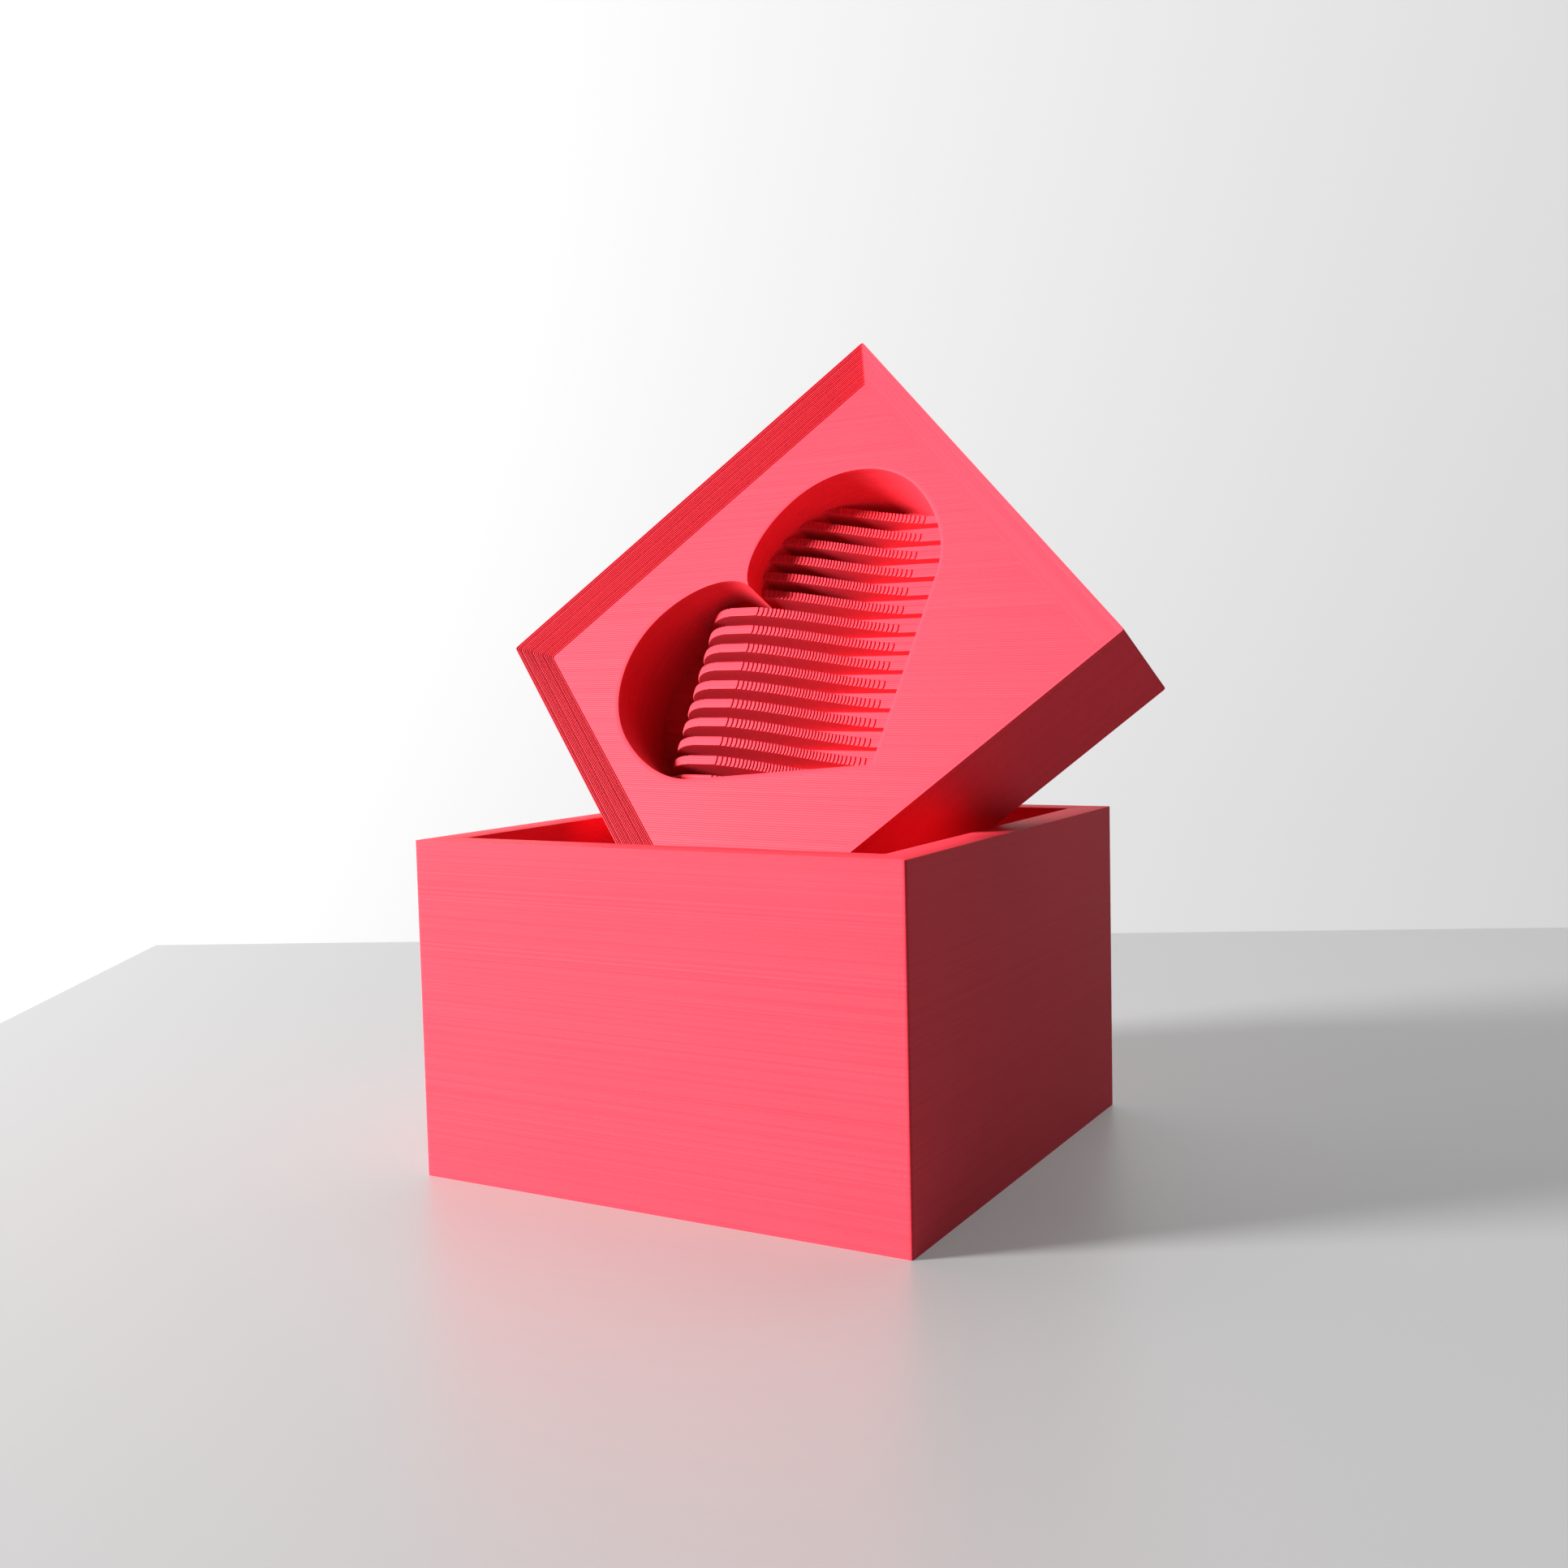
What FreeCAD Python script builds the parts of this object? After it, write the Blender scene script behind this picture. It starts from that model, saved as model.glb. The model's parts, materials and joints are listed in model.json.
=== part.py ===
"""A square music box: a printed case and heart lid, with a key-wound comb movement under the inner floor.

Millimetres. The origin is the centre of the case's underside, +Z is up, -Y is the front and +X is the right.
The lid stands on one corner in the open case, leaning back between the side walls.
"""
import FreeCAD, Part
import math
import os

Vec = FreeCAD.Vector
os.makedirs("parts", exist_ok=True)

# ---- case ----
box_width = 84.0
box_depth = 84.0
box_height = 53.0
wall = 5.6
floor_thickness = 2.2
base_thickness = 2.5
base_gap = 0.25
corner_post = 7.0

# ---- lid, in its own u (across), v (up) and n (outward) axes, n = 0 on the panel ----
lid_thickness = 19.2
border_height = 4.0
border_slope = 4.2
heart_margin = 4.9
lid_floor = 0.8
border_edge = 0.05
rib_pitch = 3.6
rib_width = 1.6
rib_end_gap = 0.05
rib_reach = 40.0
smallest_rib = 0.5
crest_depth = 4.8
low_rib_height = 1.6
fall_start = -26.5
fall_steps = 8
crest_start = -18.5
crest_end = -14.0
slope_end = 11.3
slope_steps = 16
slope_roundness = 0.4
lip_height = 3.5
lip_width = 2.4
lip_gap = 0.4

# ---- how the lid stands in the case ----
lid_lean = 27.6
lid_turn = 3.86
lid_spin = 44.6
lid_side_gap = 0.93
lid_foot_gap = 0.3
lid_foot_y = -8.7

# ---- gears ----
gear_module = 0.4
pressure_angle = 25.0
tooth_addendum = 0.8
tooth_dedendum = 1.1
backlash = 0.12
wheel_teeth = 32
drive_pinion_teeth = 12
idler_wheel_teeth = 30
small_pinion_teeth = 10

# ---- movement ----
bedplate_thickness = 1.5
bed_left_margin = 2.0
bed_right_margin = 0.4
bed_front_margin = 1.5
bed_back_margin = 0.5
bed_screw_inset_x = 2.2
bed_screw_inset_front = 3.0
bed_screw_inset_back = 5.0
bed_clearance = 0.6
bay_clearance = 0.5
movement_gap = 4.5
cylinder_x = -3.0
cylinder_radius = 6.5
cylinder_length = 22.0
cylinder_shell = 0.8
cylinder_end_plate = 1.2
cylinder_end_gap = 1.0
pin_radius = 0.2
pin_height = 0.5
tune_tracks = 18
track_pitch = 1.15
pins_per_track = 4
track_turn = 47.0
beat_turn = 11.0
comb_gap = 0.15
comb_tooth_length = 10.0
comb_tooth_gap = 0.3
comb_seat = 7.4
comb_drop = 0.3
comb_plate = 1.2
comb_tooth_plate = 0.6
comb_tooth_root = 0.5
comb_end_gap = 0.2
comb_base_setback = 0.4
comb_screw_shares = (0.22, 0.78)
comb_screw_bite = 4.5
comb_hole_depth = 5.0
bracket_thickness = 1.5
bracket_rise = 2.5
front_bracket_reach = 4.5
bracket_left_reach = 4.0
bracket_right_reach = 3.2
tenon_width = 3.0
tenon_inset = 0.5
tenon_lift = 0.1
side_gap = 0.6
wheel_thickness = 1.2
idler_wheel_setback = 0.6
pinion_length = 1.6
pinion_gap = 0.1
pinion_overlap = 0.2
barrel_length = 11.0
barrel_wall = 0.8
barrel_below_wheel = 0.2
arbor_radius = 1.5
arbor_overhang = 0.4
hub_wall = 0.7
hub_end_gap = 0.2
spring_turns = 6
spring_strip = 0.22
spring_end_gap = 0.4
spring_steps_per_turn = 20
cylinder_arbor_radius = 1.2
idler_arbor_radius = 0.8
fly_spindle_radius = 0.6
spindle_overhang = 0.3
running_gap = 0.04
fan_radius = 5.4
fan_length = 8.0
fan_blade = 0.5
fan_hub_radius = 1.2
ratchet_radius = 4.6
ratchet_teeth = 12
ratchet_tooth = 0.9

# ---- click: its pin, its finger and the leaf spring over it ----
click_pin_out = 1.9
click_pin_up = 0.6
click_pin_radius = 0.6
click_pin_head = 0.6
click_ear = 2.2
click_ear_top = 1.2
click_side_gap = 0.1
click_boss_radius = 1.3
click_tip_gap = 0.15
click_tip_height = 0.8
click_tip_width = 0.3
click_finger_top = 1.2
click_finger_bottom = 1.0
click_finger_root = 0.2
click_knee_rise = 0.6
leaf_thickness = 0.25
leaf_width = 1.2
leaf_setback = 0.8
leaf_overhang = 1.4
leaf_foot_out = 3.4
leaf_foot_length = 2.4
leaf_foot_height = 3.0

# ---- key ----
bush_radius = 3.0
bush_flange = 1.0
bush_flange_reach = 1.2
key_gap = 0.5
key_boss_radius = 2.6
key_boss_length = 6.0
key_socket_beyond = 1.0
key_wing_radius = 4.8
key_wing_hole = 2.3
key_wing_setback = 1.5
key_hole_shift = 0.5
key_stem_in_boss = 2.0
key_plate = 1.4

# ---- stop ----
stop_rod_radius = 1.0
stop_foot_radius = 0.5
stop_travel = 2.0
stop_clearance = 0.5
stop_slot_gap = 0.3
stop_foot_grip = 0.4
stop_foot_hole = 3.0
stop_rod_below_foot = 1.0
stop_spring_length = 9.0
stop_spring_wire = 0.16
stop_spring_turns = 8
stop_spring_gap = 0.08

# ---- screws ----
base_screw_radius = 1.4
base_screw_length = 11.0
small_screw_radius = 0.9
screw_gap = 0.05
screw_head_height = 1.2
screw_head_ratio = 2.0
screw_slot_half = 0.25
head_recess = 1.5
bed_screw_short = 0.2

# ---- how far cutting tools run past a face, and bodies that are fused overlap ----
past = 1.0

# ---- heights and places worked out from the sizes above ----
bed_bottom = base_thickness
bed_top = bed_bottom + bedplate_thickness
wheel_radius = gear_module * wheel_teeth / 2
wheel_outer = wheel_radius + gear_module * tooth_addendum
pin_circle = cylinder_radius + pin_height
lowest_sweep = max(wheel_outer, pin_circle - bed_clearance / 2, fan_radius)
axis_z = bed_top + bed_clearance + lowest_sweep
stop_foot_z = axis_z + fan_radius + stop_clearance + stop_foot_radius
movement_top = max(axis_z + wheel_outer, axis_z + pin_circle, stop_foot_z + stop_foot_radius)
floor_under = movement_top + bay_clearance
floor_top = floor_under + floor_thickness

inner_x = box_width / 2 - wall
inner_y = box_depth / 2 - wall
barrel_x = cylinder_x - gear_module * (wheel_teeth + drive_pinion_teeth) / 2
idler_x = cylinder_x + gear_module * (wheel_teeth + small_pinion_teeth) / 2
fly_x = idler_x + gear_module * (idler_wheel_teeth + small_pinion_teeth) / 2

ratchet_back = inner_y - movement_gap
ratchet_front = ratchet_back - bracket_thickness
back_bracket_y = ratchet_front - side_gap - bracket_thickness
barrel_cover_y = back_bracket_y - side_gap - barrel_wall
barrel_front = barrel_cover_y - barrel_length
barrel_wheel_y = barrel_front - wheel_thickness
cylinder_wheel_y = barrel_wheel_y - side_gap - wheel_thickness
middle_bracket_y = cylinder_wheel_y - side_gap - bracket_thickness
cylinder_back = middle_bracket_y - cylinder_end_gap
cylinder_front = cylinder_back - cylinder_length
front_bracket_y = cylinder_front - cylinder_end_gap - bracket_thickness
idler_wheel_y = barrel_front + side_gap + idler_wheel_setback
fan_back = back_bracket_y - side_gap
fan_front = fan_back - fan_length

comb_tip_x = cylinder_x + pin_circle + comb_gap
comb_root_x = comb_tip_x + comb_tooth_length
comb_back_x = comb_root_x + comb_seat
comb_z = axis_z - comb_drop

made = {}


def rod(radius, y0, y1, x, z):
    """A solid round bar along Y."""
    return Part.makeCylinder(radius, y1 - y0, Vec(x, y0, z), Vec(0, 1, 0))


def tube(outer, inner, y0, y1, x, z):
    """A round bar along Y with a bore right through it."""
    return rod(outer, y0, y1, x, z).cut(rod(inner, y0 - past, y1 + past, x, z))


def block(x0, x1, y0, y1, z0, z1):
    """A box between two corners."""
    return Part.makeBox(x1 - x0, y1 - y0, z1 - z0, Vec(x0, y0, z0))


def post(radius, x, y, z0, z1):
    """A solid round bar along Z."""
    return Part.makeCylinder(radius, z1 - z0, Vec(x, y, z0), Vec(0, 0, 1))


def save(name, shape):
    """Write one named piece."""
    made[name] = shape
    shape.exportStep("parts/" + name + ".step")


def plate_from(points, y0, y1, x, z):
    """A flat outline in the X-Z plane, given as (x, z) pairs about a centre, extruded along Y."""
    corners = [Vec(x + px, y0, z + pz) for px, pz in points]
    face = Part.Face(Part.makePolygon(corners + corners[:1]))
    return face.extrude(Vec(0, y1 - y0, 0))


def gear_outline(teeth, phase):
    """An involute gear outline with stub teeth; a tooth is centred on the phase angle in degrees."""
    pitch = gear_module * teeth / 2
    pressure = math.radians(pressure_angle)
    base = pitch * math.cos(pressure)
    tip = pitch + gear_module * tooth_addendum
    root = pitch - gear_module * tooth_dedendum
    half = (math.pi * gear_module - backlash) / 4 / pitch
    involute = math.tan(pressure) - pressure

    def half_angle(radius):
        if radius <= base:
            return half + involute
        roll = math.acos(base / radius)
        return half + involute - (math.tan(roll) - roll)

    steps = 4
    start = max(base, root)
    radii = [start + (tip - start) * k / steps for k in range(steps + 1)]
    flank = [(half_angle(r), r) for r in radii]
    if root < base:
        flank.insert(0, (half_angle(base), root))
    points = []
    for tooth in range(teeth):
        centre = math.radians(phase) + 2 * math.pi * tooth / teeth
        side = [(centre - angle, r) for angle, r in flank]
        side += [(centre + angle, r) for angle, r in reversed(flank)]
        points += [(r * math.cos(a), r * math.sin(a)) for a, r in side]
    return points


def gear(teeth, phase, bore, y0, y1, x):
    """A spur gear on the movement's axis height, with a round bore."""
    body = plate_from(gear_outline(teeth, phase), y0, y1, x, axis_z)
    return body.cut(rod(bore, y0 - past, y1 + past, x, axis_z))


def screw(radius, length, x, y, z, up=True):
    """A slotted cheese-head screw; z is the seat of the head and up points the shank upwards."""
    sign = 1 if up else -1
    head_radius = radius * screw_head_ratio
    shank = Part.makeCylinder(radius, length, Vec(x, y, z), Vec(0, 0, sign))
    head = Part.makeCylinder(head_radius, screw_head_height, Vec(x, y, z), Vec(0, 0, -sign))
    slot_floor = z - sign * screw_head_height / 2
    slot_mouth = slot_floor - sign * screw_head_height
    reach = head_radius + past
    slot = block(x - reach, x + reach, y - screw_slot_half, y + screw_slot_half,
                 min(slot_floor, slot_mouth), max(slot_floor, slot_mouth))
    return shank.fuse(head).cut(slot).removeSplitter()


# ---- case: four walls, an inner floor and four corner posts, printed as one ----
post_x = inner_x - corner_post / 2
post_y = inner_y - corner_post / 2
post_places = [(sx * post_x, sy * post_y) for sx in (-1, 1) for sy in (-1, 1)]
rod_y = inner_y + wall / 2


def make_box_body():
    body = block(-box_width / 2, box_width / 2, -box_depth / 2, box_depth / 2, 0, box_height)
    body = body.cut(block(-inner_x, inner_x, -inner_y, inner_y, floor_top, box_height + past))
    body = body.cut(block(-inner_x, inner_x, -inner_y, inner_y, -past, floor_under))
    for x, y in post_places:
        half = corner_post / 2
        pillar = block(x - half, x + half, y - half, y + half, base_thickness, floor_under)
        body = body.fuse(pillar)
    body = body.removeSplitter()
    for x, y in post_places:
        hole_top = base_thickness + base_screw_length
        body = body.cut(post(base_screw_radius + screw_gap, x, y, 0, hole_top))
    body = body.cut(rod(bush_radius, inner_y - past, box_depth / 2 + past, barrel_x, axis_z))
    well = stop_foot_z - stop_foot_radius - stop_travel - stop_spring_length
    body = body.cut(post(stop_rod_radius + running_gap, fly_x, rod_y, well, box_height + past))
    slot_half = stop_foot_radius + stop_slot_gap
    slot_low = stop_foot_z - slot_half - stop_travel
    return body.cut(block(fly_x - slot_half, fly_x + slot_half, inner_y - past, rod_y, slot_low, floor_under))


save("box_body", make_box_body())

# ---- base plate and its screws ----
bed_x0 = barrel_x - wheel_outer - bed_left_margin
bed_x1 = comb_back_x + bed_right_margin
bed_y0 = front_bracket_y - bed_front_margin
bed_y1 = back_bracket_y + bracket_thickness + bed_back_margin
bed_screw_places = [
    (bed_x0 + bed_screw_inset_x, bed_y0 + bed_screw_inset_front),
    (bed_x0 + bed_screw_inset_x, bed_y1 - bed_screw_inset_back),
    (bed_x1 - bed_screw_inset_x, bed_y1 - bed_screw_inset_back),
]


def make_base_plate():
    reach_x = inner_x - base_gap
    reach_y = inner_y - base_gap
    plate = block(-reach_x, reach_x, -reach_y, reach_y, 0, base_thickness)
    for x, y in post_places:
        head = base_screw_radius * screw_head_ratio
        plate = plate.cut(post(base_screw_radius + screw_gap, x, y, -past, base_thickness + past))
        plate = plate.cut(post(head + screw_gap, x, y, -past, head_recess))
    for x, y in bed_screw_places:
        head = small_screw_radius * screw_head_ratio
        plate = plate.cut(post(small_screw_radius + screw_gap, x, y, -past, base_thickness + past))
        plate = plate.cut(post(head + screw_gap, x, y, -past, head_recess))
    return plate


save("base_plate", make_base_plate())
base_screws = [screw(base_screw_radius, base_screw_length, x, y, head_recess) for x, y in post_places]
save("base_screws", Part.makeCompound(base_screws))
bed_screw_length = bed_top - head_recess - bed_screw_short
bed_screws = [screw(small_screw_radius, bed_screw_length, x, y, head_recess) for x, y in bed_screw_places]
save("bedplate_screws", Part.makeCompound(bed_screws))

# ---- bedplate and the three bearing brackets that stand in its slots ----
bracket_top = axis_z + bracket_rise
front_span = (cylinder_x - front_bracket_reach, cylinder_x + front_bracket_reach)
train_span = (barrel_x - bracket_left_reach, fly_x + bracket_right_reach)
tenon_places = []
for span, y in ((front_span, front_bracket_y), (train_span, middle_bracket_y), (train_span, back_bracket_y)):
    tenon_places.append((span[0] + tenon_inset, y))
    tenon_places.append((span[1] - tenon_inset - tenon_width, y))


def make_bracket(span, y, bores):
    """An upright bearing plate with two tenons; bores are (x, shaft radius) pairs."""
    y1 = y + bracket_thickness
    plate = block(span[0], span[1], y, y1, bed_top, bracket_top)
    for x in (span[0] + tenon_inset, span[1] - tenon_inset - tenon_width):
        plate = plate.fuse(block(x, x + tenon_width, y, y1, bed_bottom + tenon_lift, bed_top))
    plate = plate.removeSplitter()
    for x, shaft in bores:
        plate = plate.cut(rod(shaft + running_gap, y - past, y1 + past, x, axis_z))
    return plate


click_pin_x = barrel_x + ratchet_radius + click_pin_out
click_pin_z = axis_z + ratchet_radius + click_pin_up
front_bracket = make_bracket(front_span, front_bracket_y, [(cylinder_x, cylinder_arbor_radius)])
middle_bracket = make_bracket(train_span, middle_bracket_y, [
    (barrel_x, arbor_radius),
    (cylinder_x, cylinder_arbor_radius),
    (idler_x, idler_arbor_radius),
    (fly_x, fly_spindle_radius),
])
back_bracket = make_bracket(train_span, back_bracket_y, [
    (barrel_x, arbor_radius),
    (idler_x, idler_arbor_radius),
    (fly_x, fly_spindle_radius),
])
click_hole = rod(click_pin_radius, back_bracket_y - past, ratchet_front, click_pin_x, click_pin_z)
save("front_bracket", front_bracket)
save("middle_bracket", middle_bracket)
ear = block(click_pin_x - click_ear, click_pin_x + click_ear,
            back_bracket_y, back_bracket_y + bracket_thickness, bracket_top, click_pin_z + click_ear_top)
save("back_bracket", back_bracket.fuse(ear).removeSplitter().cut(click_hole))


def make_bedplate():
    plate = block(bed_x0, bed_x1, bed_y0, bed_y1, bed_bottom, bed_top)
    for x, y in tenon_places:
        y1 = y + bracket_thickness
        plate = plate.cut(block(x, x + tenon_width, y, y1, bed_bottom - past, bed_top + past))
    for x, y in bed_screw_places:
        plate = plate.cut(post(small_screw_radius + screw_gap, x, y, bed_bottom - past, bed_top + past))
    return plate


save("bedplate", make_bedplate())

# ---- comb: steel plate with tuned teeth on a block, held by two screws ----
comb_y0 = cylinder_front + comb_end_gap
comb_y1 = cylinder_back - comb_end_gap
comb_screw_y = [comb_y0 + (comb_y1 - comb_y0) * part for part in comb_screw_shares]
comb_screw_x = comb_root_x + comb_seat / 2
track_y0 = (cylinder_front + cylinder_back) / 2 - track_pitch * (tune_tracks - 1) / 2
track_y = [track_y0 + track_pitch * k for k in range(tune_tracks)]


def make_comb():
    plate = block(comb_root_x, comb_back_x, comb_y0, comb_y1, comb_z, comb_z + comb_plate)
    half = (track_pitch - comb_tooth_gap) / 2
    for y in track_y:
        tooth = block(comb_tip_x, comb_root_x + comb_tooth_root, y - half, y + half,
                      comb_z, comb_z + comb_tooth_plate)
        plate = plate.fuse(tooth)
    plate = plate.removeSplitter()
    for y in comb_screw_y:
        hole_top = comb_z + comb_plate + past
        plate = plate.cut(post(small_screw_radius + screw_gap, comb_screw_x, y, comb_z - past, hole_top))
    return plate


def make_comb_base():
    seat = block(comb_root_x + comb_base_setback, comb_back_x, comb_y0, comb_y1, bed_top, comb_z)
    for y in comb_screw_y:
        hole_floor = comb_z - comb_hole_depth
        seat = seat.cut(post(small_screw_radius + screw_gap, comb_screw_x, y, hole_floor, comb_z + past))
    return seat


save("comb", make_comb())
save("comb_base", make_comb_base())
comb_screws = [
    screw(small_screw_radius, comb_screw_bite + comb_plate, comb_screw_x, y, comb_z + comb_plate, up=False)
    for y in comb_screw_y
]
save("comb_screws", Part.makeCompound(comb_screws))

# ---- cylinder: a thin drum with tune pins on an arbor, a pinion and a wheel ----
pinion_y0 = barrel_front - pinion_gap - pinion_length
arbor_front = front_bracket_y - arbor_overhang
save("cylinder_arbor", rod(cylinder_arbor_radius, arbor_front, pinion_y0 + pinion_length, cylinder_x, axis_z))


def make_cylinder():
    drum = tube(cylinder_radius, cylinder_radius - cylinder_shell, cylinder_front, cylinder_back,
                cylinder_x, axis_z)
    for y in (cylinder_front, cylinder_back - cylinder_end_plate):
        end = tube(cylinder_radius - cylinder_shell / 2, cylinder_arbor_radius, y, y + cylinder_end_plate,
                   cylinder_x, axis_z)
        drum = drum.fuse(end)
    return drum.removeSplitter()


def make_cylinder_pins():
    pins = []
    root = cylinder_radius - cylinder_shell / 2
    for track, y in enumerate(track_y):
        for k in range(pins_per_track):
            turn = math.radians(360 * k / pins_per_track + track_turn * track + beat_turn * k * (track % 3))
            out = Vec(math.cos(turn), 0, math.sin(turn))
            foot = Vec(cylinder_x, y, axis_z) + out * root
            pins.append(Part.makeCylinder(pin_radius, pin_circle - root, foot, out))
    return Part.makeCompound(pins)


save("cylinder", make_cylinder())
save("cylinder_pins", make_cylinder_pins())
drive_phase = 180 + 180 / drive_pinion_teeth
small_phase = 180 + 180 / small_pinion_teeth
cylinder_bore = cylinder_arbor_radius
save("cylinder_pinion", gear(drive_pinion_teeth, drive_phase, cylinder_bore, pinion_y0,
                             pinion_y0 + pinion_length, cylinder_x))
save("cylinder_wheel", gear(wheel_teeth, 0, cylinder_bore, cylinder_wheel_y,
                            cylinder_wheel_y + wheel_thickness, cylinder_x))

# ---- idler ----
idler_pinion_y = cylinder_wheel_y - pinion_overlap
shaft_front = middle_bracket_y - arbor_overhang
shaft_back = back_bracket_y + bracket_thickness + spindle_overhang
save("idler_arbor", rod(idler_arbor_radius, shaft_front, shaft_back, idler_x, axis_z))
save("idler_pinion", gear(small_pinion_teeth, small_phase, idler_arbor_radius, idler_pinion_y,
                          idler_pinion_y + pinion_length, idler_x))
save("idler_wheel", gear(idler_wheel_teeth, 0, idler_arbor_radius, idler_wheel_y,
                         idler_wheel_y + wheel_thickness, idler_x))

# ---- fly: the air brake ----
fly_pinion_y = idler_wheel_y - pinion_overlap
save("fly_spindle", rod(fly_spindle_radius, shaft_front, shaft_back, fly_x, axis_z))
save("fly_pinion", gear(small_pinion_teeth, small_phase, fly_spindle_radius, fly_pinion_y,
                        fly_pinion_y + pinion_length, fly_x))


def make_fan():
    hub = rod(fan_hub_radius, fan_front, fan_back, fly_x, axis_z)
    blades = block(fly_x - fan_radius, fly_x + fan_radius, fan_front, fan_back,
                   axis_z - fan_blade / 2, axis_z + fan_blade / 2)
    return hub.fuse(blades).removeSplitter().cut(
        rod(fly_spindle_radius, fan_front - past, fan_back + past, fly_x, axis_z))


save("fly_fan", make_fan())

# ---- spring barrel, running free on the winding arbor ----
barrel_radius = wheel_radius - barrel_below_wheel
hub_radius = arbor_radius + hub_wall


def make_barrel():
    cup = rod(barrel_radius, barrel_front, barrel_cover_y, barrel_x, axis_z)
    inside_y = barrel_front + barrel_wall
    hollow = rod(barrel_radius - barrel_wall, inside_y, barrel_cover_y + past, barrel_x, axis_z)
    bore = rod(arbor_radius + running_gap, barrel_front - past, barrel_cover_y + past, barrel_x, axis_z)
    return cup.cut(hollow).cut(bore)


save("barrel", make_barrel())
save("barrel_cover", tube(barrel_radius, arbor_radius + running_gap, barrel_cover_y,
                          barrel_cover_y + barrel_wall, barrel_x, axis_z))
save("barrel_wheel", gear(wheel_teeth, 0, arbor_radius + running_gap, barrel_wheel_y, barrel_front, barrel_x))


def make_mainspring():
    """A flat strip wound in an even spiral from the arbor hub to the barrel wall."""
    inner = hub_radius + spring_strip
    outer = barrel_radius - barrel_wall - spring_strip
    half = spring_strip / 2
    steps = spring_turns * spring_steps_per_turn
    inside = []
    outside = []
    for k in range(steps + 1):
        angle = 2 * math.pi * spring_turns * k / steps
        radius = inner + (outer - inner) * k / steps
        inside.append(((radius - half) * math.cos(angle), (radius - half) * math.sin(angle)))
        outside.append(((radius + half) * math.cos(angle), (radius + half) * math.sin(angle)))
    return plate_from(inside + outside[::-1], barrel_front + barrel_wall + spring_end_gap,
                      barrel_cover_y - spring_end_gap, barrel_x, axis_z)


save("mainspring", make_mainspring())

# ---- winding: arbor, ratchet wheel, wall bush and key ----
key_front = box_depth / 2 + bush_flange + key_gap
arbor_back = key_front + key_boss_length + key_socket_beyond


def make_winding_arbor():
    arbor = rod(arbor_radius, shaft_front, arbor_back, barrel_x, axis_z)
    hub = rod(hub_radius, barrel_front + barrel_wall + hub_end_gap, barrel_cover_y - hub_end_gap,
              barrel_x, axis_z)
    return arbor.fuse(hub).removeSplitter()


save("winding_arbor", make_winding_arbor())


def make_ratchet_wheel():
    """Saw teeth: each starts with a radial wall at the tip radius and falls evenly to the root."""
    root = ratchet_radius - ratchet_tooth
    points = []
    for tooth in range(ratchet_teeth):
        start = 2 * math.pi * tooth / ratchet_teeth
        end = 2 * math.pi * (tooth + 1) / ratchet_teeth
        points.append((ratchet_radius * math.cos(start), ratchet_radius * math.sin(start)))
        points.append((root * math.cos(end), root * math.sin(end)))
    wheel = plate_from(points, ratchet_front, ratchet_back, barrel_x, axis_z)
    return wheel.cut(rod(arbor_radius, ratchet_front - past, ratchet_back + past, barrel_x, axis_z))


save("ratchet_wheel", make_ratchet_wheel())


def make_key_bush():
    sleeve = rod(bush_radius, inner_y, box_depth / 2, barrel_x, axis_z)
    flange_back = box_depth / 2 + bush_flange
    flange = rod(bush_radius + bush_flange_reach, box_depth / 2, flange_back, barrel_x, axis_z)
    bore = rod(arbor_radius + running_gap, inner_y - past, flange_back + past, barrel_x, axis_z)
    return sleeve.fuse(flange).cut(bore).removeSplitter()


save("key_bush", make_key_bush())


def make_key():
    """A butterfly key: a round boss with a flat wing each side, each wing pierced by a round hole."""
    boss_back = key_front + key_boss_length
    boss = rod(key_boss_radius, key_front, boss_back, barrel_x, axis_z)
    wing_y = boss_back + key_wing_radius - key_wing_setback
    low = axis_z - key_plate / 2
    high = axis_z + key_plate / 2
    stem = block(barrel_x - key_boss_radius, barrel_x + key_boss_radius, boss_back - key_stem_in_boss,
                 wing_y + key_wing_radius / 2, low, high)
    key = boss.fuse(stem)
    for side in (-1, 1):
        key = key.fuse(post(key_wing_radius, barrel_x + side * key_wing_radius, wing_y, low, high))
    key = key.removeSplitter()
    for side in (-1, 1):
        hole_x = barrel_x + side * (key_wing_radius + key_hole_shift)
        key = key.cut(post(key_wing_hole, hole_x, wing_y, low - past, high + past))
    socket = rod(arbor_radius, key_front - past, arbor_back, barrel_x, axis_z)
    return key.cut(socket)


save("winding_key", make_key())

# ---- click, which drops in front of a ratchet tooth and stops the arbor unwinding ----
click_y0 = ratchet_front + click_side_gap
click_y1 = ratchet_back - click_side_gap


def make_click():
    """A finger that reaches left from its pivot to the root of the ratchet's uppermost tooth."""
    boss = rod(click_boss_radius, click_y0, click_y1, click_pin_x, click_pin_z)
    tip_x = barrel_x + click_tip_gap - click_pin_x
    tip_z = axis_z + ratchet_radius - ratchet_tooth + click_tip_gap - click_pin_z
    heel_x = tip_x + click_tip_width
    points = [
        (click_finger_root, click_finger_top),
        (tip_x, tip_z + click_tip_height),
        (tip_x, tip_z),
        (heel_x, tip_z),
        (heel_x + ratchet_radius / 2, tip_z + ratchet_tooth * click_knee_rise),
        (click_finger_root, -click_finger_bottom),
    ]
    finger = plate_from(points, click_y0, click_y1, click_pin_x, click_pin_z)
    hole_y = (ratchet_front - past, ratchet_back + past)
    hole = rod(click_pin_radius + running_gap, hole_y[0], hole_y[1], click_pin_x, click_pin_z)
    return boss.fuse(finger).removeSplitter().cut(hole)


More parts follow.
